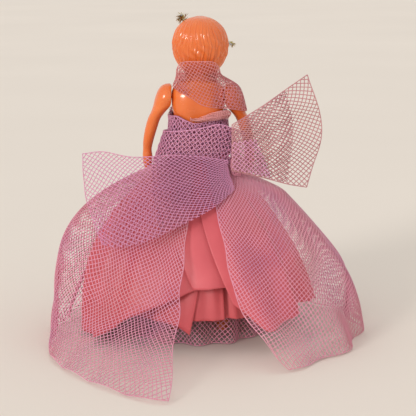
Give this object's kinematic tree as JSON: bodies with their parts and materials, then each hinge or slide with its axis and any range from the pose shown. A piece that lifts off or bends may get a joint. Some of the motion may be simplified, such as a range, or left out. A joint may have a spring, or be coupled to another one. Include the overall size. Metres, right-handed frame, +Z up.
{
  "type": "tree topper fairy doll",
  "caption": "Strung hard-plastic fairy doll in layered satin and net skirts with a wide net sash, shawl and tinsel crown, hollow under the skirts to sit on the tip of a tree.",
  "frame": {"origin": "on the doll's upright axis, level with the soles of its shoes, where the tip of the tree comes up under the skirts", "axes": "+Z up along the body, +Y the way the doll faces, +X towards its right arm"},
  "size_m": [0.1485, 0.1814, 0.1499],
  "materials": {
    "plastic": "polished",
    "satin": "satin sheen",
    "net": "matt net",
    "steel": "drawn wire",
    "elastic": "matt",
    "tinsel": "metallic"
  },
  "bodies": {
    "torso": {"net_petticoat": "net", "net_overskirt": "net", "bodice_wrap": "net", "bodice_fold": "net", "sash_knot": "net", "sash_left_end": "net", "sash_right_end": "net", "shawl_collar": "net", "shawl_back": "net", "shawl_front": "net", "satin_underskirt": "satin", "satin_skirt": "satin", "waistband": "satin", "torso_back_shell": "plastic", "torso_front_shell": "plastic", "torso_bar": "steel", "shoulder_elastic": "elastic", "hip_elastic": "elastic", "neck_elastic": "elastic"},
    "head": {"head_back_shell": "plastic", "head_face_shell": "plastic", "neck_bar": "steel", "neck_stud": "steel", "crown_wire": "tinsel", "crown_tinsel": "tinsel"},
    "right_arm": {"right_arm": "plastic", "right_arm_stud": "steel", "shawl_sleeve": "net"},
    "left_arm": {"left_arm": "plastic", "left_arm_stud": "steel"},
    "right_leg": {"right_leg": "plastic", "right_leg_stud": "steel"},
    "left_leg": {"left_leg": "plastic", "left_leg_stud": "steel"}
  },
  "joints": [
    {"name": "neck_turn", "type": "hinge", "parent": "torso", "child": "head", "pos_m": [0, 0, 0.1224], "axis": [0, 0, 1], "range_deg": [-73, 107]},
    {"name": "right_shoulder_swing", "type": "hinge", "parent": "torso", "child": "right_arm", "pos_m": [0.01235, 0, 0.111], "axis": [1, 0, 0], "range_deg": [-4, 100]},
    {"name": "left_shoulder_swing", "type": "hinge", "parent": "torso", "child": "left_arm", "pos_m": [-0.01235, 0, 0.111], "axis": [1, 0, 0], "range_deg": [-3, 170]},
    {"name": "right_hip_swing", "type": "hinge", "parent": "torso", "child": "right_leg", "pos_m": [0.00775, 0, 0.0715], "axis": [1, 0, 0], "range_deg": [-10, 12]},
    {"name": "left_hip_swing", "type": "hinge", "parent": "torso", "child": "left_leg", "pos_m": [-0.00775, 0, 0.0715], "axis": [1, 0, 0], "range_deg": [-10, 12]}
  ]
}
